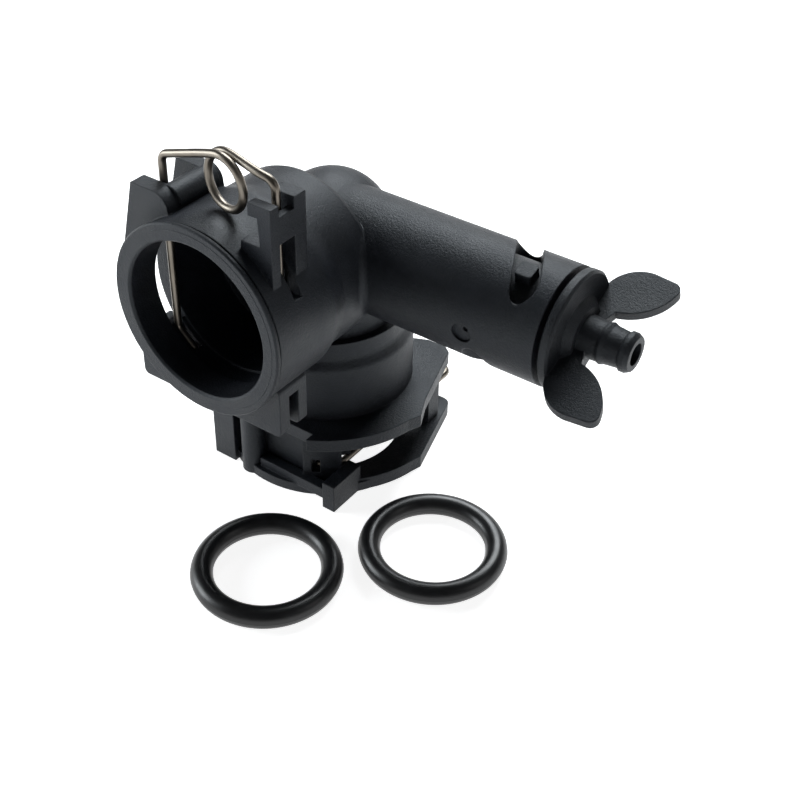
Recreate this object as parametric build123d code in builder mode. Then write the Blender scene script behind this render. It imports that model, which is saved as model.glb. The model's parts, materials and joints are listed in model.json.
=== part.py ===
"""Pipe elbow with two spring-clip sockets and a bayonet drain plug.

A moulded elbow joins a horizontal front socket (opening to -Y) to a lower socket (opening to -Z).
A drain tube leaves the elbow along +X and holds a winged drain plug with a hose barb. Each socket
has a wire clip that locks the pipe, and two spare sealing rings belong to the set.
The origin is the centre of the lower socket's mouth, on the surface that the part stands on.
"""
import os
from math import cos, pi, radians, sin

from build123d import *

os.makedirs("parts", exist_ok=True)

# ---- driving dimensions, mm -------------------------------------------------------------------
front_height = 57.6         # height of the front socket's axis
drain_height = 58.4         # height of the drain tube's axis
socket_bore = 36.2          # bore of both sockets
socket_depth = 27.0         # depth of the sealing bore behind the front rim
stop_bore = 29.0            # bore behind the pipe's stop shoulder
waterway = 22.4             # clear bore round the bend
clip_recess = 0.5           # extra radius of the sockets where the clips cross them
recess_front = -36.3        # y of the front recess, nearer face
recess_back = -31.8
lead_in = 0.5               # chamfer at the mouth of each socket

rim_face = -44.0            # y of the front rim's face
rim_thickness = 0.95
rim_groove = 0.55           # width and depth of the groove behind the rim
rim_dia = 44.5
front_body_dia = 43.7
front_body_end = -25.0      # y where the front body starts to neck down
front_neck_dia = 41.0
front_neck_start = -19.4
front_neck_end = -7.4       # y of the flat end of the front body
bend_dia = 28.3             # dome where the branches meet
bend_y = 2.7                # y of the dome's centre
bend_reach = 10.0           # from the dome's centre forwards into the front body

housing_dia = 41.8          # lower housing above the cage
housing_top = 34.4
neck_dia = 39.0
neck_top = 40.7
throat_dia = 35.0
throat_shoulder = 49.4
throat_top_dia = 28.0
throat_top = 56.6

drain_dia = 26.7            # drain tube
drain_bore = 21.8
root_fillet = 1.5           # between the front body and the tube
drain_end = 62.5            # x of the tube's open end
seat_x = 28.0               # x of the face that the tip ring closes on
seat_hole = 9.0
seat_wall = 4.0
drain_inlet = 14.0          # bore between the bend and the seat

slot_width = 5.8            # bayonet windows
slot_angle = 79.5           # direction that window 1 faces, degrees from +Y towards +Z
slot_slope = 26.5           # lean of the window across the tube, degrees
slot_high = (47.5, -8.2)    # window end centres: x, and distance across the tube
slot_low = (55.9, 8.8)

wire_dia = 1.8
leg_spacing = 30.0          # between the centres of a clip's two legs
clip_plane = -34.0          # y of the front clip
lower_clip_plane = 6.8      # z of the lower clip

cage_low = 3.5              # top of the lower flange
cage_high = 17.1            # underside of the upper flange
tip_skin = 21.8             # inner radius of the wall outside the lower clip's ends
tip_walls = ((18.6, 23.2, -67, -44), (18.6, 19.4, -44, -36))    # radii, start and end angle
tip_window = ((20.0, 24.0, -61.8, -56.7),)
tip_window_low = 6.2
tip_window_high = 9.9
flange_top = 20.4           # top of the upper flange

plug_gap = 1.05             # open gap between the tube's end and the plug's disc at rest
disc_thickness = 2.4
stem_dia = 21.1
barb_dia = 8.7
barb_end = 78.9
barb_bore = 4.9
wing_tilt = 21.5            # lean of the wings from the XY plane, degrees
wing_thickness = 2.2
wing_top = 0.9              # the wings' upper face above the plane through the axis

ring_inner_dia = 24.0       # spare sealing rings
ring_section = 5.0

# ---- planes that several pieces share -----------------------------------------------------------
front_axis = Plane(origin=(0, 0, front_height), x_dir=(1, 0, 0), z_dir=(0, -1, 0))
drain_axis = Plane(origin=(0, 0, drain_height), x_dir=(0, 1, 0), z_dir=(1, 0, 0))
drain_side = Plane(origin=(0, 0, drain_height), x_dir=(1, 0, 0), z_dir=(0, -1, 0))
drain_line = Axis((0, 0, drain_height), (1, 0, 0))


def front_plane(y):
    """Sketch plane facing -Y at the given y, with local x = X and local y = height."""
    return Plane(origin=(0, y, 0), x_dir=(1, 0, 0), z_dir=(0, -1, 0))


def along_front(y):
    """Plane across the front socket's axis at the given y, facing -Y."""
    return front_axis.offset(-y)


def along_drain(x):
    """Plane across the drain tube's axis at the given x, facing +X."""
    return drain_axis.offset(x)


def window_plane(angle):
    """Plane through the drain axis, facing the given direction round the tube."""
    facing = (0, cos(radians(angle)), sin(radians(angle)))
    return Plane(origin=(0, 0, drain_height), x_dir=(1, 0, 0), z_dir=facing)


# ---- elbow body ---------------------------------------------------------------------------------
front_lug_face = -39.4
left_lug_top = 81.8
right_lug_top = 87.8
right_lug_side = 18.0
lower_lug_base = 32.6
cage_front = -22.8
gate_x = 45.6
gate_angle = 186.0
gate_dia = 4.6
gate_floor = 12.6           # from the tube's axis

with BuildPart() as elbow_body:
    # front body, turned about the front axis
    with BuildSketch(Plane(origin=(0, 0, front_height), x_dir=(0, 1, 0), z_dir=(1, 0, 0))):
        with BuildLine():
            lip = rim_face + rim_thickness
            Polyline((rim_face, 0), (rim_face, rim_dia / 2 - 0.3), (rim_face + 0.3, rim_dia / 2),
                     (lip, rim_dia / 2), (lip, front_body_dia / 2 - rim_groove),
                     (lip + rim_groove, front_body_dia / 2 - rim_groove),
                     (lip + rim_groove + 0.2, front_body_dia / 2),
                     (front_body_end, front_body_dia / 2))
            Spline((front_body_end, front_body_dia / 2), (front_neck_start, front_neck_dia / 2),
                   tangents=[(1, 0), (1, 0)], tangent_scalars=[0.8, 0.8])
            Polyline((front_neck_start, front_neck_dia / 2),
                     (front_neck_end - 1.6, front_neck_dia / 2),
                     (front_neck_end - 0.6, front_neck_dia / 2 - 0.4),
                     (front_neck_end, front_neck_dia / 2 - 1.1),
                     (front_neck_end, 0), (rim_face, 0))
        make_face()
    revolve(axis=Axis((0, 0, front_height), (0, 1, 0)))

    # bend: a domed stub behind the front body, where the three branches meet
    with BuildSketch(Plane(origin=(0, bend_y, drain_height), x_dir=(0, 1, 0), z_dir=(1, 0, 0))):
        with BuildLine():
            bend_radius = bend_dia / 2
            Polyline((bend_radius, 0), (-bend_reach, 0), (-bend_reach, bend_radius), (0, bend_radius))
            ThreePointArc((0, bend_radius), (bend_radius * sin(pi / 4), bend_radius * cos(pi / 4)),
                          (bend_radius, 0))
        make_face()
    revolve(axis=Axis((0, 0, drain_height), (0, 1, 0)))

    # lower branch: throat, neck with its step, housing with a rounded shoulder
    with BuildSketch(Plane.XZ):
        with BuildLine():
            Polyline((0, throat_top), (throat_top_dia / 2, throat_top),
                     (throat_dia / 2, throat_shoulder),
                     (throat_dia / 2, neck_top), (neck_dia / 2, neck_top),
                     (neck_dia / 2, housing_top + 2.5))
            Spline((neck_dia / 2, housing_top + 2.5), (housing_dia / 2, housing_top - 1),
                   tangents=[(0, -1), (0, -1)])
            Polyline((housing_dia / 2, housing_top - 1), (housing_dia / 2, cage_high),
                     (0, cage_high), (0, throat_top))
        make_face()
    revolve(axis=Axis.Z)

    # drain tube
    with BuildSketch(along_drain(0)):
        Circle(drain_dia / 2)
    extrude(amount=drain_end)
    tube_root = Vector(front_neck_dia / 2, -drain_dia / 2, drain_height)
    fillet(elbow_body.edges().sort_by_distance(tube_root)[0], radius=root_fillet)

    # upper left lug: two end plates joined by a round bar, with the clip's leg between them
    for plate_start, plate_end in ((front_lug_face, -35.4), (-26.0, -22.5)):
        with BuildSketch(front_plane(plate_start)):
            with BuildLine():
                Polyline((-8.5, 74), (-21.0, 62.5), (-23.4, 65.0), (-19.2, left_lug_top),
                         (-12.4, left_lug_top))
                ThreePointArc((-12.4, left_lug_top), (-10.2, 80.6), (-9.2, 78.0))
                Line((-9.2, 78.0), (-8.5, 74))
            make_face()
        extrude(amount=plate_start - plate_end)
    with BuildSketch(front_plane(-36)):
        with Locations((-11.8, 79.0)):
            Circle(2.9)
        with Locations((-12.4, 76.4)):
            Rectangle(2.6, 5)
    extrude(amount=-12)

    # upper right lug: an open front post with a cap and a foot, a solid rear post, a side bridge
    with BuildSketch(front_plane(front_lug_face)):
        with BuildLine():
            Polyline((right_lug_side, 68), (right_lug_side, right_lug_top), (12.3, right_lug_top),
                     (12.3, 85.1), (14.6, 85.1), (15.1, 78.8), (10.2, 78.8), (9.6, 73),
                     (right_lug_side, 68))
        make_face()
    extrude(amount=-2.5)
    with BuildSketch(front_plane(-32.2)):
        with BuildLine():
            Polyline((right_lug_side, 68), (right_lug_side, right_lug_top), (12.3, right_lug_top),
                     (12.3, 74), (right_lug_side, 68))
        make_face()
    extrude(amount=-3.5)
    with BuildSketch(front_plane(-37)):
        with Locations((17.05, 82.3)):
            Rectangle(1.9, 6.0)
    extrude(amount=-5)

    # lower lugs, which house the inturned ends of the clip
    for lug_left, lug_right in ((3.5, 18.3), (-21.5, -4.0)):
        with BuildSketch(front_plane(front_lug_face)):
            with Locations(((lug_left + lug_right) / 2, (lower_lug_base + 45) / 2)):
                RectangleRounded(lug_right - lug_left, 45 - lower_lug_base, 1.2)
        extrude(amount=-8.9)

    # lower cage: two flanges held apart by corner posts, a column and parts of the socket's wall
    with BuildSketch(Plane.XY) as lower_flange:
        with BuildLine():
            Polyline((-17.6, cage_front), (-11.2, cage_front), (-11.2, -20.0), (16.4, -20.0),
                     (20.0, -13.0))
            ThreePointArc((20.0, -13.0), (23.6, -7.6), (26.0, -0.4))
            Polyline((26.0, -0.4), (26.8, 2.6), (20.2, 25.4), (-20.2, 25.4), (-26.8, 2.6),
                     (-26.0, -0.4))
            ThreePointArc((-26.0, -0.4), (-23.6, -7.6), (-20.0, -13.0))
            Line((-20.0, -13.0), (-17.6, cage_front))
        make_face()
        fillet(lower_flange.vertices().sort_by(Axis.Y)[-2:], radius=2.4)
    extrude(amount=cage_low)
    with BuildSketch(Plane.XY):
        Circle(24.2)
    extrude(amount=2.6)
    with BuildSketch(Plane.XY.offset(cage_high)):
        with BuildLine():
            Polyline((-17.6, cage_front), (13.4, cage_front), (13.4, -25.3))
            ThreePointArc((13.4, -25.3), (23.3, -16.6), (28.1, -5.2))
            Polyline((28.1, -5.2), (29.4, -2.0), (26.6, 4.0), (20.6, 23.0), (18.5, 24.6),
                     (13.5, 24.4), (9.5, 22.6), (-9.5, 22.6), (-13.5, 24.4), (-18.5, 24.6),
                     (-20.6, 23.0), (-26.6, 4.0), (-26.6, -8.0), (-17.6, cage_front))
        make_face()
    extrude(amount=flange_top - cage_high)
    with BuildSketch(Plane.XY):
        with Locations((-14.4, -19.4)):
            Rectangle(6.4, 6.8)
        with Locations((-6.2, -21.3)):
            Circle(3.0)
        with Locations((-1.5, -17.0)):
            Rectangle(20.0, 5.0)
        with Locations((19.7, 16.5), (-19.7, 16.5)):
            Rectangle(2.4, 4.4)
        with Locations((0, 17.6)):
            Rectangle(17.6, 4.8)
    extrude(amount=flange_top - 1)
    with BuildSketch(Plane.XY):
        with Locations((18.1, -18.1)):
            Rectangle(3.4, 10.4)
    extrude(amount=7.5)
    with BuildSketch(Plane.XY.offset(2.2)):
        with Locations((7.0, -21.5)):
            Rectangle(20.0, 2.6)
    extrude(amount=2.8)

    # curved wall in front of the lower clip's right end, with a small window to it
    for low, high, sectors, mode in ((0, flange_top - 1, tip_walls, Mode.ADD),
                                     (tip_window_low, tip_window_high, tip_window, Mode.SUBTRACT)):
        for inner, outer, start, finish in sectors:
            with BuildSketch(Plane.XY.offset(low)):
                with BuildLine():
                    outside = CenterArc((0, 0), outer, start, finish - start)
                    inside = CenterArc((0, 0), inner, start, finish - start)
                    Line(outside @ 0, inside @ 0)
                    Line(outside @ 1, inside @ 1)
                make_face()
            extrude(amount=high - low, mode=mode)

    # front socket: lead-in, sealing bore, stop shoulder and waterway
    with BuildSketch(along_front(rim_face - 1)):
        Circle(socket_bore / 2)
    extrude(amount=-(socket_depth + 1), mode=Mode.SUBTRACT)
    with BuildSketch(along_front(rim_face)):
        Circle(socket_bore / 2 + lead_in)
    extrude(amount=-lead_in, taper=45, mode=Mode.SUBTRACT)
    with BuildSketch(along_front(rim_face + socket_depth)):
        Circle(stop_bore / 2)
    extrude(amount=-8, mode=Mode.SUBTRACT)
    with BuildSketch(along_front(-10)):
        Circle(waterway / 2)
    extrude(amount=-10, mode=Mode.SUBTRACT)
    with Locations((0, 0, front_height)):
        Sphere(waterway / 2, mode=Mode.SUBTRACT)

    with BuildSketch(along_front(recess_front)):
        Circle(socket_bore / 2 + clip_recess)
    extrude(amount=recess_front - recess_back, mode=Mode.SUBTRACT)

    # lower socket
    with BuildSketch(Plane.XY.offset(cage_low)):
        Circle(socket_bore / 2 + clip_recess)
    extrude(amount=cage_high - cage_low, mode=Mode.SUBTRACT)
    with BuildSketch(Plane.XY.offset(-1)):
        Circle(socket_bore / 2)
    extrude(amount=socket_depth + 1, mode=Mode.SUBTRACT)
    with BuildSketch(Plane.XY):
        Circle(socket_bore / 2 + lead_in)
    extrude(amount=lead_in, taper=45, mode=Mode.SUBTRACT)
    with BuildSketch(Plane.XY.offset(socket_depth - 1)):
        Circle(stop_bore / 2)
    extrude(amount=20, mode=Mode.SUBTRACT)
    with BuildSketch(Plane.XY.offset(socket_depth)):
        Circle(waterway / 2)
    extrude(amount=front_height - socket_depth, mode=Mode.SUBTRACT)

    # drain tube: inlet, seat, plug bore and the two bayonet windows
    with BuildSketch(along_drain(0)):
        Circle(drain_inlet / 2)
    extrude(amount=seat_x - seat_wall, mode=Mode.SUBTRACT)
    with BuildSketch(along_drain(0)):
        Circle(seat_hole / 2)
    extrude(amount=seat_x, mode=Mode.SUBTRACT)
    with BuildSketch(along_drain(seat_x)):
        Circle(drain_bore / 2)
    extrude(amount=drain_end, mode=Mode.SUBTRACT)
    for turn in (0, 180):
        with BuildSketch(window_plane(slot_angle + turn)):
            middle_x = (slot_high[0] + slot_low[0]) / 2
            middle_s = (slot_high[1] + slot_low[1]) / 2
            run = ((slot_low[0] - slot_high[0]) ** 2 + (slot_low[1] - slot_high[1]) ** 2) ** 0.5
            with Locations((middle_x, -middle_s)):
                SlotCenterToCenter(run, slot_width, rotation=slot_slope - 90)
        extrude(amount=drain_dia, mode=Mode.SUBTRACT)

    # round gate recess on the tube's front side, with the gate's small pit in its floor
    with BuildSketch(window_plane(gate_angle).offset(gate_floor)):
        with Locations((gate_x, 0)):
            Circle(gate_dia / 2)
    extrude(amount=5, mode=Mode.SUBTRACT)
    with BuildSketch(window_plane(gate_angle).offset(gate_floor - 0.6)):
        with Locations((gate_x + 0.7, 0.9)):
            Circle(0.6)
    extrude(amount=5, mode=Mode.SUBTRACT)

    # channels that the front clip's legs and inturned ends lie in
    leg_channel = wire_dia + 0.6
    leg_x = leg_spacing / 2
    for side in (1, -1):
        with BuildSketch(front_plane(clip_plane - leg_channel / 2)):
            with Locations((side * leg_x, 66)):
                Rectangle(leg_channel, 50)
            with Locations((side * 12.75, 45)):
                Rectangle(6.9, 13.2)
        extrude(amount=-leg_channel, mode=Mode.SUBTRACT)

    # side openings of the channels, and the longer window in the left wall
    with BuildSketch(front_plane(-35.4)):
        with Locations((leg_x + 5, (66.2 + 79.3) / 2)):
            Rectangle(10, 79.3 - 66.2)
    extrude(amount=-2.4, mode=Mode.SUBTRACT)
    with BuildSketch(front_plane(-36.9)):
        with Locations((15.3, 86.8)):
            Rectangle(6.0, 3.0)
    extrude(amount=-4.7, mode=Mode.SUBTRACT)
    with BuildSketch(front_plane(-36.2)):
        with Locations((-leg_x - 5, 57.5)):
            Rectangle(10, 24)
    extrude(amount=-4.4, mode=Mode.SUBTRACT)
    for side in (1, -1):
        with BuildSketch(front_plane(-36.3)):
            with Locations((side * (leg_x + 5), 37.2)):
                Rectangle(10, 9.6)
        extrude(amount=-3.1, mode=Mode.SUBTRACT)

    # channels for the lower clip
    with BuildSketch(Plane.XY.offset(lower_clip_plane - leg_channel / 2)):
        for side in (1, -1):
            with Locations((side * leg_x, 10)):
                Rectangle(leg_channel, 50)
    extrude(amount=leg_channel, mode=Mode.SUBTRACT)
    with BuildSketch(Plane.XY.offset(lower_clip_plane - leg_channel / 2)):
        with Locations((12.75, -12.5), (-12.75, -12.5)):
            Rectangle(6.9, 13.2)
        Circle(tip_skin, mode=Mode.INTERSECT)
    extrude(amount=leg_channel, mode=Mode.SUBTRACT)

elbow_body.part.label = "elbow_body"
export_step(elbow_body.part, "parts/elbow_body.step")


# ---- wire clips ---------------------------------------------------------------------------------
# The wire is drawn flat in the XY plane: x across the legs, y towards the head, the pipe's axis at
# the origin. It runs from the left tip, up the left leg, once round the coil and down the right leg.
clip_height = 58.4          # height of the front clip's middle
coil_centre = (2.0, 28.1)
coil_front = 0.8            # the coil starts this far in front of the legs
coil_radius = 5.95
coil_pitch = 1.95           # the coil moves back by this much per turn
coil_twist = 9.0            # degrees, the coil's right side leans forward
coil_start = 108.0          # degrees, where the left run meets the coil
coil_turn = 384.0
run_length = 6.0            # part of each run that bends towards the coil
run_blend = 2.0
right_shoulder = 32.4
tip = (10.6, -17.6)         # end of an inturned leg
tip_bend = (15.0, -13.6)
corner_radius = 2.4

coil_depth = coil_pitch * coil_turn / 360
coil_end = radians(coil_start - coil_turn)
coil_right = Vector(cos(radians(coil_twist)), 0, sin(radians(coil_twist)))
coil_axis = Vector(-sin(radians(coil_twist)), 0, cos(radians(coil_twist)))
coil_plane = Plane(
    origin=(*coil_centre, coil_front - coil_depth),
    x_dir=coil_right * cos(coil_end) + Vector(0, 1, 0) * sin(coil_end),
    z_dir=coil_axis,
)
coil = coil_plane * Helix(pitch=coil_pitch, height=coil_depth, radius=coil_radius)

left_join = coil @ 1
left_heading = Vector(sin(radians(coil_start)), -cos(radians(coil_start)), 0)
left_start = Vector(left_join.X, left_join.Y, 0) - left_heading * run_length
left_corner = left_start - left_heading * ((left_start.X + leg_x) / left_heading.X)
left_leg = FilletPolyline((-tip[0], tip[1]), (-tip_bend[0], tip_bend[1]), left_corner, left_start,
                          radius=corner_radius)
left_run = Bezier(left_start, left_start + left_heading * run_blend,
                  left_join + (coil % 1) * run_blend, left_join)

right_join = coil @ 0
right_corner = Vector(leg_x, right_shoulder, 0)
right_heading = (right_corner - Vector(right_join.X, right_join.Y, 0)).normalized()
right_start = right_corner - right_heading * (corner_radius + 0.6)
right_run = Bezier(right_join, right_join - (coil % 0) * run_blend,
                   right_start - right_heading * run_blend, right_start)
right_leg = FilletPolyline(right_start, right_corner, tip_bend, tip, radius=corner_radius)

with BuildPart() as clip_wire:
    for path in (left_leg, left_run, coil, right_run, right_leg):
        with BuildSketch(Plane(origin=path @ 0, z_dir=path % 0)):
            Circle(wire_dia / 2)
        sweep(path=path)

with BuildPart() as front_clip:
    with Locations(Plane(origin=(0, clip_plane, clip_height), x_dir=(1, 0, 0), z_dir=(0, -1, 0))):
        add(clip_wire.part)
front_clip.part.label = "front_clip"
export_step(front_clip.part, "parts/front_clip.step")

with BuildPart() as lower_clip:
    with Locations(Plane.XY.offset(lower_clip_plane)):
        add(clip_wire.part)
lower_clip.part.label = "lower_clip"
export_step(lower_clip.part, "parts/lower_clip.step")


# ---- drain plug ---------------------------------------------------------------------------------
disc_back = drain_end + plug_gap
disc_front = disc_back + disc_thickness
lug_place = (54.2, 105.0)   # x, and degrees round the tube, of the first bayonet lug
lug_size = 4.0
lug_reach = 12.9
ring_groove = (37.6, 40.4)
nose_start = 30.3
nose_end = 36.0

with BuildPart() as drain_plug:
    with BuildSketch(drain_side):
        with BuildLine():
            Polyline((nose_start - 0.6, 0), (nose_start - 0.6, 3.5), (nose_start + 1.3, 3.5),
                     (nose_start + 1.3, 7.5), (nose_start, 7.5), (nose_start, 8.2),
                     (nose_end, 8.2), (nose_end, stem_dia / 2), (ring_groove[0], stem_dia / 2),
                     (ring_groove[0], 8.35), (ring_groove[1], 8.35), (ring_groove[1], stem_dia / 2),
                     (disc_back, stem_dia / 2), (disc_back, drain_dia / 2 - 0.4),
                     (disc_back + 0.4, drain_dia / 2), (disc_front - 0.5, drain_dia / 2),
                     (disc_front, drain_dia / 2 - 0.5), (disc_front, 8.0), (disc_front + 1.6, 6.2),
                     (disc_front + 1.6, 4.6), (71.6, 4.3), (72.4, 4.6), (73.4, 4.2), (76.4, 3.9),
                     (76.9, barb_dia / 2), (77.9, barb_dia / 2), (barb_end, 3.8), (barb_end, 0),
                     (nose_start - 0.6, 0))
        make_face()
    revolve(axis=drain_line)

    # wings, both in one tilted plane through the axis
    wing_normal = (0, -sin(radians(wing_tilt)), cos(radians(wing_tilt)))
    wing_plane = Plane(origin=(0, 0, drain_height), x_dir=(1, 0, 0), z_dir=wing_normal)
    for side in (1, -1):
        with BuildSketch(wing_plane.offset(wing_top - wing_thickness)) as wing:
            with BuildLine():
                ThreePointArc((65.4, side * 12.6), (68.4, side * 17.7), (73.2, side * 19.4))
                Line((73.2, side * 19.4), (80.0, side * 18.8))
                ThreePointArc((80.0, side * 18.8), (77.2, side * 11.0), (69.7, side * 7.0))
                Polyline((69.7, side * 7.0), (disc_front - 1, side * 7.4), (disc_front - 1, side * 12.6),
                         (65.4, side * 12.6))
            make_face()
            fillet(wing.vertices().sort_by(Axis.X)[-1], radius=2.0)
        extrude(amount=wing_thickness)
        with BuildSketch(wing_plane.offset(wing_top - wing_thickness)):
            with BuildLine():
                Polyline((disc_front - 1, side * 3), (disc_front - 1, side * 9), (68.6, side * 7.8),
                         (70.5, side * 7.0), (69.0, side * 3), (disc_front - 1, side * 3))
            make_face()
        extrude(amount=wing_thickness)

    # bayonet lugs
    for turn in (0, 180):
        with BuildSketch(window_plane(lug_place[1] + turn)):
            with Locations((lug_place[0], 0)):
                RectangleRounded(lug_size, lug_size, 0.8)
        extrude(amount=lug_reach)

    # barb bore, and the cross holes that let water into it
    with BuildSketch(along_drain(nose_end - 3.5)):
        Circle(barb_bore / 2)
    extrude(amount=barb_end, mode=Mode.SUBTRACT)
    for turn in (0, 90):
        with BuildSketch(window_plane(turn)):
            with Locations((nose_end - 2.2, 0)):
                Circle(1.6)
        extrude(amount=20, both=True, mode=Mode.SUBTRACT)

drain_plug.part.label = "drain_plug"
export_step(drain_plug.part, "parts/drain_plug.step")

with BuildPart() as plug_ring:
    with BuildSketch(drain_side):
        with Locations((sum(ring_groove) / 2, 9.6)):
            Circle(1.2)
    revolve(axis=drain_line)
plug_ring.part.label = "plug_ring"
export_step(plug_ring.part, "parts/plug_ring.step")

with BuildPart() as tip_ring:
    with BuildSketch(along_drain(seat_x + plug_gap)):
        Circle(7.4)
        Circle(3.6, mode=Mode.SUBTRACT)
    extrude(amount=2.45)
tip_ring.part.label = "tip_ring"
export_step(tip_ring.part, "parts/tip_ring.step")


# ---- spare sealing rings, lying on the surface beside the elbow ----------------------------------
left_ring_place = Plane(origin=(20.7, -48.8, 0), x_dir=(1, 0, 0), z_dir=(0, -1, 0))
right_ring_place = Plane(origin=(46.5, -21.2, 0), x_dir=(1, 0, 0), z_dir=(0, -1, 0))
ring_centre = ((ring_inner_dia + ring_section) / 2, ring_section / 2)

with BuildPart() as loose_ring_left:
    with BuildSketch(left_ring_place):
        with Locations(ring_centre):
            Circle(ring_section / 2)
    revolve(axis=Axis(left_ring_place.origin, (0, 0, 1)))
loose_ring_left.part.label = "loose_ring_left"
export_step(loose_ring_left.part, "parts/loose_ring_left.step")

with BuildPart() as loose_ring_right:
    with BuildSketch(right_ring_place):
        with Locations(ring_centre):
            Circle(ring_section / 2)
    revolve(axis=Axis(right_ring_place.origin, (0, 0, 1)))
loose_ring_right.part.label = "loose_ring_right"
export_step(loose_ring_right.part, "parts/loose_ring_right.step")
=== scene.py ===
"""Looks of the pipe elbow: nylon, wire clips, rubber rings, mould marks, floor, light, camera.

Lengths are written in millimetres and turned into metres by MM where an object is made.
"""

import json
from math import acos, cos, exp, pi, radians, sin, tan

import bpy
from mathutils import Matrix, Quaternion, Vector


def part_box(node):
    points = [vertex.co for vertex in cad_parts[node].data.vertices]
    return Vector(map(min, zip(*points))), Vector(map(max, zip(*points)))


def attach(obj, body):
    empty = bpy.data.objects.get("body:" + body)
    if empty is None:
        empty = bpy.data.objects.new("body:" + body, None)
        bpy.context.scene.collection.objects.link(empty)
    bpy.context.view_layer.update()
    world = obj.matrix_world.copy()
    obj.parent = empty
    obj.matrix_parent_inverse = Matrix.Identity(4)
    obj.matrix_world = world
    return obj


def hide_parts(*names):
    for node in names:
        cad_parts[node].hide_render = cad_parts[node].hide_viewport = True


MM = 0.001
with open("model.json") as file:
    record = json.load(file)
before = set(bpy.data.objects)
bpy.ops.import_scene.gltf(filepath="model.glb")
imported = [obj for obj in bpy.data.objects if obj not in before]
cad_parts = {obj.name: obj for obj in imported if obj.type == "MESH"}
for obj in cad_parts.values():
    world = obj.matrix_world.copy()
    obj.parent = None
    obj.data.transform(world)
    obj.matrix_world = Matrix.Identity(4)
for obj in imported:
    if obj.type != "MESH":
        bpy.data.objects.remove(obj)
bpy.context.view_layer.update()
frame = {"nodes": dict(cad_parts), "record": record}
scene = bpy.context.scene
mounts = {mount["name"]: [value / MM for value in mount["pos_m"]]
          for mount in frame["record"]["mounts"]}
FRONT_HEIGHT = mounts["front_socket"][2]        # height of the front socket's axis
DRAIN_HEIGHT = mounts["hose_barb"][2]           # height of the drain tube's axis
FRONT_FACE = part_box("elbow_body")[0].y / MM     # y of the front rim's face


# ---- materials ----------------------------------------------------------------------------------
class Shader:
    """A Principled material with its coordinates at hand, in metres of the row frame."""

    def __init__(self, name, roughness, metallic=0.0, specular=0.5):
        self.material = bpy.data.materials.new(name)
        self.material.use_nodes = True
        self.tree = self.material.node_tree
        self.surface = self.tree.nodes["Principled BSDF"]
        self.surface.inputs["Roughness"].default_value = roughness
        self.surface.inputs["Metallic"].default_value = metallic
        self.surface.inputs["Specular IOR Level"].default_value = specular
        self.place = self.tree.nodes.new("ShaderNodeTexCoord").outputs["Object"]

    def join(self, output, socket):
        self.tree.links.new(output, socket)

    def noise(self, per_metre, detail=3.0, stretch=(1, 1, 1), rough=0.5):
        """Noise with that many cells to the metre, optionally squeezed along an axis."""
        mapping = self.tree.nodes.new("ShaderNodeMapping")
        mapping.inputs["Scale"].default_value = stretch
        self.join(self.place, mapping.inputs["Vector"])
        noise = self.tree.nodes.new("ShaderNodeTexNoise")
        noise.inputs["Scale"].default_value = per_metre
        noise.inputs["Detail"].default_value = detail
        noise.inputs["Roughness"].default_value = rough
        self.join(mapping.outputs["Vector"], noise.inputs["Vector"])
        return noise.outputs["Fac"]

    def colour(self, driver, stops):
        """Base colour from a ramp of (position, (r, g, b)) stops."""
        ramp = self.tree.nodes.new("ShaderNodeValToRGB")
        elements = ramp.color_ramp.elements
        while len(elements) < len(stops):
            elements.new(0.5)
        for element, (position, rgb) in zip(elements, stops):
            element.position = position
            element.color = (*rgb, 1)
        self.join(driver, ramp.inputs["Fac"])
        self.join(ramp.outputs["Color"], self.surface.inputs["Base Color"])

    def roughness(self, driver, low, high):
        """Roughness that swings between two values with the driver."""
        spread = self.tree.nodes.new("ShaderNodeMapRange")
        spread.inputs["From Min"].default_value = 0.3
        spread.inputs["From Max"].default_value = 0.7
        spread.inputs["To Min"].default_value = low
        spread.inputs["To Max"].default_value = high
        self.join(driver, spread.inputs["Value"])
        self.join(spread.outputs["Result"], self.surface.inputs["Roughness"])

    def rounded_edges(self, radius_mm):
        """Normal that is smoothed across every edge, as the mould's small radii do."""
        bevel = self.tree.nodes.new("ShaderNodeBevel")
        bevel.samples = 6
        bevel.inputs["Radius"].default_value = radius_mm * MM
        return bevel.outputs["Normal"]

    def bump(self, height, depth_mm, strength, below=None):
        """Bump of that depth, on top of an earlier bump if one is given."""
        bump = self.tree.nodes.new("ShaderNodeBump")
        bump.inputs["Distance"].default_value = depth_mm * MM
        bump.inputs["Strength"].default_value = strength
        self.join(height, bump.inputs["Height"])
        if below:
            self.join(below, bump.inputs["Normal"])
        self.join(bump.outputs["Normal"], self.surface.inputs["Normal"])
        return bump.outputs["Normal"]


def moulded_nylon(name, dark, light):
    """Glass-filled nylon: fine spark grain, faint flow mottling and a soft broad sheen."""
    shader = Shader(name, roughness=0.5, specular=0.32)
    shader.surface.inputs["Specular Tint"].default_value = (0.90, 0.96, 1.0, 1)
    mottle = shader.noise(110, detail=5, rough=0.6)
    grain = shader.noise(1900, detail=3, rough=0.8)
    swell = shader.noise(520, detail=2)
    shader.colour(mottle, ((0.30, dark), (0.72, light)))
    shader.roughness(mottle, 0.42, 0.54)
    edges = shader.rounded_edges(0.45)
    base = shader.bump(swell, 0.03, 0.3, below=edges)
    shader.bump(grain, 0.16, 0.9, below=base)
    return shader.material


def drawn_steel(name):
    """Warm grey stainless spring wire with faint drawing streaks."""
    shader = Shader(name, roughness=0.34, metallic=1.0)
    streak = shader.noise(900, detail=4, stretch=(1.0, 1.0, 0.12), rough=0.6)
    tarnish = shader.noise(140, detail=4)
    shader.colour(tarnish, ((0.32, (0.15, 0.132, 0.110)), (0.70, (0.235, 0.21, 0.178))))
    shader.roughness(tarnish, 0.28, 0.42)
    shader.bump(streak, 0.012, 0.5)
    return shader.material


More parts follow.
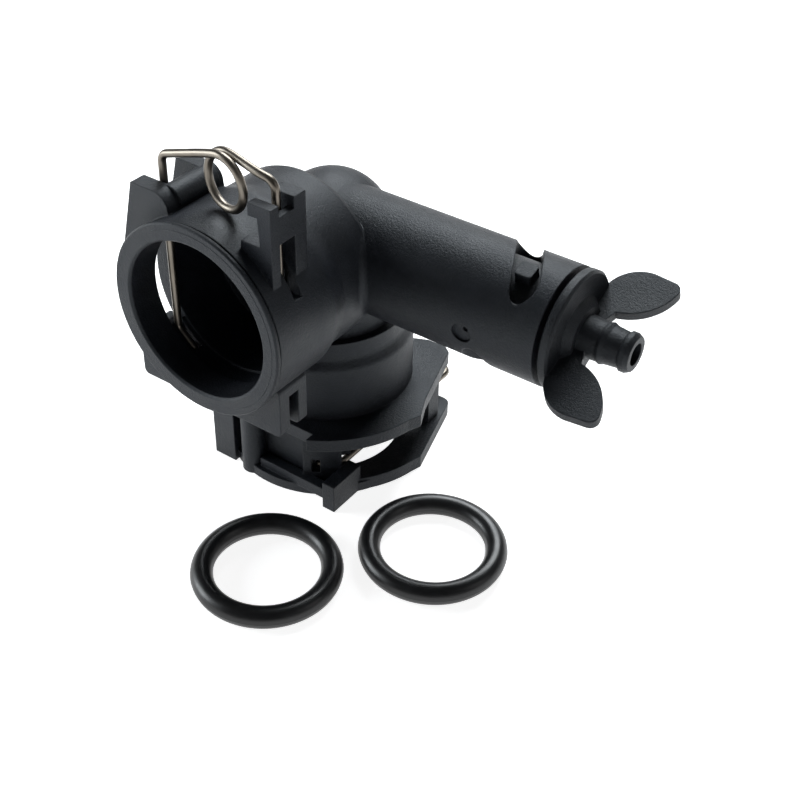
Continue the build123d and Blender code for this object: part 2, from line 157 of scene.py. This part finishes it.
def moulded_rubber(name, dark, light, low, high, grain_depth):
    """Black rubber: satin to glossy skin with a very slight orange peel and dust."""
    shader = Shader(name, roughness=low, specular=0.5)
    dust = shader.noise(300, detail=6, rough=0.65)
    peel = shader.noise(1300, detail=2)
    shader.colour(dust, ((0.35, dark), (0.75, light)))
    shader.roughness(dust, low, high)
    shader.bump(peel, grain_depth, 0.5)
    return shader.material


def white_card(name):
    """Matte white light table, bright enough to wash out the shadows."""
    shader = Shader(name, roughness=0.8, specular=0.1)
    cloud = shader.noise(3, detail=2)
    shader.colour(cloud, ((0.3, (0.74, 0.74, 0.74)), (0.7, (0.76, 0.76, 0.76))))
    shader.surface.inputs["Emission Color"].default_value = (1, 1, 1, 1)
    shader.surface.inputs["Emission Strength"].default_value = 0.86
    return shader.material


looks = {
    "nylon_body": moulded_nylon(
        "nylon_body_look", (0.0040, 0.0050, 0.0074), (0.0078, 0.0092, 0.0134)),
    "nylon_plug": moulded_nylon(
        "nylon_plug_look", (0.0036, 0.0042, 0.0060), (0.0066, 0.0076, 0.0104)),
    "clip_steel": drawn_steel("clip_steel_look"),
    "seal_rubber": moulded_rubber(
        "seal_rubber_look", (0.004, 0.004, 0.0045), (0.008, 0.008, 0.009),
        low=0.38, high=0.5, grain_depth=0.02),
    "ring_rubber": moulded_rubber(
        "ring_rubber_look", (0.0045, 0.0046, 0.0052), (0.0075, 0.0078, 0.0090),
        low=0.30, high=0.40, grain_depth=0.006),
}


# ---- mesh helpers -------------------------------------------------------------------------------
def mesh_object(name, points, faces, look):
    """Smooth-shaded object from points in millimetres of the row frame."""
    mesh = bpy.data.meshes.new(name)
    mesh.from_pydata([Vector(point) * MM for point in points], [], faces)
    mesh.validate()
    mesh.shade_smooth()
    mesh.materials.append(looks[look])
    made = bpy.data.objects.new(name, mesh)
    scene.collection.objects.link(made)
    return made


def loft(name, rows, look, closed_rows=False):
    """Skin over closed loops of points, capped at both ends unless the rows close."""
    count = len(rows[0])
    points = [point for row in rows for point in row]
    faces = []
    last = len(rows) if closed_rows else len(rows) - 1
    for i in range(last):
        here, there = i * count, (i + 1) % len(rows) * count
        for j in range(count):
            k = (j + 1) % count
            faces.append((here + j, here + k, there + k, there + j))
    if not closed_rows:
        faces.append(tuple(range(count - 1, -1, -1)))
        faces.append(tuple(range(len(points) - count, len(points))))
    return mesh_object(name, points, faces, look)


CAP_ANGLES = (radians(35), radians(65), radians(86))
CAP_BULGE = 0.5             # share of the bar's radius by which an end stands out


def tube(name, path, radius, look, sides=24):
    """Round bar along a path, turned without twist, with softly rounded ends."""
    path = [Vector(point) for point in path]
    count = len(path)
    directions = []
    for i in range(count):
        before, after = path[max(i - 1, 0)], path[min(i + 1, count - 1)]
        directions.append((after - before).normalized())
    across = directions[0].orthogonal().normalized()
    rows = []
    for i, point in enumerate(path):
        if i:
            across = directions[i - 1].rotation_difference(directions[i]) @ across
        up = directions[i].cross(across)
        spins = [2 * pi * k / sides for k in range(sides)]
        rows.append([point + (across * cos(spin) + up * sin(spin)) * radius for spin in spins])
    for end, centre, outward in ((0, path[0], -directions[0]), (-1, path[-1], directions[-1])):
        rim = [point - centre for point in rows[end]]
        cap = [[centre + spoke * cos(a) + outward * radius * CAP_BULGE * sin(a) for spoke in rim]
               for a in CAP_ANGLES]
        rows = list(reversed(cap)) + rows if end == 0 else rows + cap
    return loft(name, rows, look)


def rounded_path(corners, radius, steps=10):
    """The corners joined by straight lines, with each inner corner turned into an arc."""
    corners = [Vector(corner) for corner in corners]
    path = [corners[0]]
    for before, corner, after in zip(corners, corners[1:], corners[2:]):
        back = (before - corner).normalized()
        forth = (after - corner).normalized()
        half = acos(max(-1.0, min(1.0, back.dot(forth)))) / 2
        centre = corner + (back + forth).normalized() * radius / sin(half)
        start = corner + back * radius / tan(half) - centre
        finish = corner + forth * radius / tan(half) - centre
        turn = start.rotation_difference(finish)
        for step in range(steps + 1):
            path.append(centre + Quaternion().slerp(turn, step / steps) @ start)
    path.append(corners[-1])
    return path


def bezier(a, b, c, d, steps=10):
    """Points between the ends of a cubic curve, ends left out."""
    points = []
    for step in range(1, steps):
        t = step / steps
        points.append(
            a * (1 - t) ** 3 + b * 3 * t * (1 - t) ** 2 + c * 3 * t * t * (1 - t) + d * t ** 3)
    return points


# ---- wire clips ---------------------------------------------------------------------------------
# The wire lies flat as in the CAD model: x across the legs, y towards the coil, z out of its plane.
WIRE_RADIUS = 0.9
LEG_X = 15.0
TIP = Vector((10.6, -17.6, 0))
TIP_BEND = Vector((15.0, -13.6, 0))
CORNER_RADIUS = 2.4
RIGHT_SHOULDER = 32.4
COIL_CENTRE = Vector((2.0, 28.1, 0))
COIL_RADIUS = 5.95
COIL_PITCH = 1.95
COIL_FRONT = 0.8
COIL_TWIST = radians(9)
COIL_START = radians(108)
COIL_TURN = radians(384)
RUN_LENGTH = 6.0            # straight run from the left shoulder to the coil
RUN_BLEND = 2.0             # reach of the blends into and out of the coil
COIL_STEPS = 96
SHOULDER_GAP = 0.6          # straight left between the right blend and its corner


def coil_point(turned):
    """Point of the coil after that turn, clockwise from the left run and moving back."""
    angle = COIL_START - turned
    right = Vector((cos(COIL_TWIST), 0, sin(COIL_TWIST)))
    forward = Vector((-sin(COIL_TWIST), 0, cos(COIL_TWIST)))
    depth = COIL_PITCH * turned / (2 * pi)
    whole = COIL_PITCH * COIL_TURN / (2 * pi)
    origin = COIL_CENTRE + Vector((0, 0, COIL_FRONT - whole))
    return (origin + (right * cos(angle) + Vector((0, sin(angle), 0))) * COIL_RADIUS
            + forward * (whole - depth))


def clip_path():
    """The wire from the left tip, up the left leg, round the coil and down the right leg."""
    coil = [coil_point(COIL_TURN * step / COIL_STEPS) for step in range(COIL_STEPS + 1)]
    enter = (coil[1] - coil[0]).normalized()
    leave = (coil[-1] - coil[-2]).normalized()

    heading = Vector((sin(COIL_START), -cos(COIL_START), 0))
    run_start = Vector((coil[0].x, coil[0].y, 0)) - heading * RUN_LENGTH
    shoulder = run_start - heading * (run_start.x + LEG_X) / heading.x
    mirrored = Vector((-1, 1, 1))
    left = rounded_path((TIP * mirrored, TIP_BEND * mirrored, shoulder, run_start), CORNER_RADIUS)
    left += bezier(run_start, run_start + heading * RUN_BLEND, coil[0] - enter * RUN_BLEND, coil[0])

    shoulder = Vector((LEG_X, RIGHT_SHOULDER, 0))
    heading = (shoulder - Vector((coil[-1].x, coil[-1].y, 0))).normalized()
    run_end = shoulder - heading * (CORNER_RADIUS + SHOULDER_GAP)
    right = bezier(coil[-1], coil[-1] + leave * RUN_BLEND, run_end - heading * RUN_BLEND, run_end)
    right += rounded_path((run_end, shoulder, TIP_BEND, TIP), CORNER_RADIUS)
    return left + coil + right


def wire_clip(name, node, body, place):
    """One clip, laid by the given function from the flat wire to the row frame."""
    made = tube(name, [place(point) for point in clip_path()], WIRE_RADIUS, "clip_steel")
    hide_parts(node)
    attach(made, body)


CLIP_HEIGHT = DRAIN_HEIGHT
CLIP_PLANE = -34.0          # y of the front clip
LOWER_CLIP_PLANE = 6.8      # z of the lower clip
wire_clip("front_clip_wire", "front_clip", "front_clip_body",
          lambda p: Vector((p.x, CLIP_PLANE - p.z, CLIP_HEIGHT + p.y)))
wire_clip("lower_clip_wire", "lower_clip", "lower_clip_body",
          lambda p: Vector((p.x, p.y, LOWER_CLIP_PLANE + p.z)))


# ---- loose sealing rings ------------------------------------------------------------------------
FLASH_HEIGHT = 0.05         # ridge that the mould leaves round the inside and the outside
FLASH_WIDTH = 0.035         # radians of the section
FLASH_OFFSETS = (-1.6, -0.8, 0.8, 1.6)      # extra points of the section, in flash widths
SECTION_SIDES = 64
RING_STEPS = 192


def sealing_ring(name, node, body):
    """Moulded ring with its parting ridge, sized by its CAD node."""
    low, high = (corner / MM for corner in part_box(node))
    centre = (low + high) / 2
    section = (high.z - low.z) / 2
    middle = (high.x - low.x) / 2 - section
    angles = sorted(
        [2 * pi * k / SECTION_SIDES for k in range(SECTION_SIDES)]
        + [side * pi + offset * FLASH_WIDTH for side in (0, 1) for offset in FLASH_OFFSETS])
    rows = []
    for step in range(RING_STEPS):
        spin = 2 * pi * step / RING_STEPS
        row = []
        for angle in angles:
            off_seam = min(abs((angle + pi) % (2 * pi) - pi), abs(angle - pi))
            reach = section + FLASH_HEIGHT * exp(-(off_seam / FLASH_WIDTH) ** 2)
            span = middle + reach * cos(angle)
            row.append((centre.x + span * cos(spin), centre.y + span * sin(spin),
                        centre.z + reach * sin(angle)))
        rows.append(row)
    made = loft(name, rows, "ring_rubber", closed_rows=True)
    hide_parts(node)
    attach(made, body)


sealing_ring("left_ring_moulding", "loose_ring_left", "ring_left")
sealing_ring("right_ring_moulding", "loose_ring_right", "ring_right")


# ---- mould marks --------------------------------------------------------------------------------
MARK_RADIUS = 0.13          # half width of a witness line, sunk into the face it lies on
MARK_SIDES = 10
MARK_SINK = 0.6             # share of its radius by which a line's centre lies below the face
WITNESS_RADIUS = 20.75      # on the rim's face
WITNESS_START, WITNESS_FINISH, WITNESS_STEPS = 118, -62, 90
DRAIN_RADIUS = 13.35
SEAM_ANGLE = radians(62)    # below the horizontal, on the tube's near side
SEAM_STATIONS = (50.5, 53, 56, 59, 61.8)


def mark(name, path, body, look):
    """A fine raised line left by the mould."""
    made = tube(name, path, MARK_RADIUS, look, sides=MARK_SIDES)
    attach(made, body)


def arc(centre, first, second, radius, start, finish, steps):
    """Points of an arc in the plane of two unit vectors, angles in degrees."""
    points = []
    for step in range(steps + 1):
        angle = radians(start + (finish - start) * step / steps)
        points.append(centre + first * radius * cos(angle) + second * radius * sin(angle))
    return points


X, Z = Vector((1, 0, 0)), Vector((0, 0, 1))
rim_centre = Vector((0, FRONT_FACE + MARK_RADIUS * MARK_SINK, FRONT_HEIGHT))
witness_path = arc(
    rim_centre, X, Z, WITNESS_RADIUS, WITNESS_START, WITNESS_FINISH, WITNESS_STEPS)
mark("rim_witness_line", witness_path, "elbow", "nylon_body")
seam_depth = DRAIN_RADIUS - MARK_RADIUS * MARK_SINK
seam_y = -seam_depth * cos(SEAM_ANGLE)
seam_z = DRAIN_HEIGHT - seam_depth * sin(SEAM_ANGLE)
seam_path = [Vector((x, seam_y, seam_z)) for x in SEAM_STATIONS]
mark("drain_parting_line", seam_path, "elbow", "nylon_body")


# ---- carried-over CAD parts ---------------------------------------------------------------------
def dress(node, look):
    """Gives a CAD node its look."""
    for slot in frame["nodes"][node].material_slots:
        slot.material = looks[look]


dress("elbow_body", "nylon_body")
dress("drain_plug", "nylon_plug")
dress("plug_ring", "seal_rubber")
dress("tip_ring", "seal_rubber")


# ---- floor, light and camera --------------------------------------------------------------------
FLOOR_HALF = 12000.0
FLOOR_CELLS = 24
FLOOR_LEVEL = -0.02         # just under the part


def floor():
    """A wide card under the part."""
    cells = FLOOR_CELLS
    points = [(FLOOR_HALF * (2 * i / cells - 1), FLOOR_HALF * (2 * j / cells - 1), FLOOR_LEVEL)
              for j in range(cells + 1) for i in range(cells + 1)]
    faces = []
    for j in range(cells):
        for i in range(cells):
            corner = j * (cells + 1) + i
            faces.append((corner, corner + 1, corner + cells + 2, corner + cells + 1))
    looks["card"] = white_card("card_look")
    made = mesh_object("floor", points, faces, "card")


STUDIO_MIDDLE = (20, -10, 40)


def softbox(name, place, size, watts, tint=(1, 1, 1)):
    """Square area light in millimetres, aimed at the middle of the part."""
    data = bpy.data.lights.new(name, "AREA")
    data.size = size * MM
    data.energy = watts
    data.color = tint
    lamp = bpy.data.objects.new(name, data)
    lamp.location = Vector(place) * MM
    aim = Vector(STUDIO_MIDDLE) - Vector(place)
    lamp.rotation_euler = aim.to_track_quat("-Z", "Y").to_euler()
    scene.collection.objects.link(lamp)


HORIZON_GLOW = 0.9          # background strength near the horizon
ROOM_GLOW = 0.06            # and overhead
HORIZON_TOP = 4             # degrees up to which the horizon glows fully
ROOM_START = 14             # degrees from which the room is dim


def studio():
    """A dim room with a white horizon, a broad box above and behind, and one at each side."""
    world = bpy.data.worlds.new("studio")
    world.use_nodes = True
    tree = world.node_tree
    sky = tree.nodes.new("ShaderNodeTexCoord")
    split = tree.nodes.new("ShaderNodeSeparateXYZ")
    fade = tree.nodes.new("ShaderNodeMapRange")
    fade.inputs["From Min"].default_value = sin(radians(HORIZON_TOP))
    fade.inputs["From Max"].default_value = sin(radians(ROOM_START))
    fade.inputs["To Min"].default_value = HORIZON_GLOW
    fade.inputs["To Max"].default_value = ROOM_GLOW
    tree.links.new(sky.outputs["Generated"], split.inputs["Vector"])
    tree.links.new(split.outputs["Z"], fade.inputs["Value"])
    tree.links.new(fade.outputs["Result"], tree.nodes["Background"].inputs["Strength"])
    tree.nodes["Background"].inputs["Color"].default_value = (1.0, 1.0, 1.0, 1)
    scene.world = world
    softbox("overhead", (-150, 380, 540), size=400, watts=5.6, tint=(0.93, 0.97, 1.0))
    softbox("left_box", (-560, -330, 230), size=340, watts=3.2, tint=(0.92, 0.97, 1.0))
    softbox("right_box", (620, 120, 420), size=300, watts=0.25)


CAMERA_PLACE = (159.66, -201.94, 210.5)
CAMERA_RIGHT = (0.8161, 0.5775, 0.0220)
CAMERA_FORWARD = (-0.4447, 0.6519, -0.6143)
LENS = 58.5
SENSOR = 36


def camera():
    """Camera at the photograph's angle and distance."""
    forward = Vector(CAMERA_FORWARD).normalized()
    right = Vector(CAMERA_RIGHT)
    right = (right - forward * right.dot(forward)).normalized()
    up = right.cross(forward)
    data = bpy.data.cameras.new("camera")
    data.lens = LENS
    data.sensor_width = SENSOR
    eye = bpy.data.objects.new("camera", data)
    turn = Matrix((right, up, -forward)).transposed()
    eye.matrix_world = Matrix.Translation(Vector(CAMERA_PLACE) * MM) @ turn.to_4x4()
    scene.collection.objects.link(eye)
    scene.camera = eye


floor()
studio()
camera()
scene.view_settings.view_transform = "Standard"
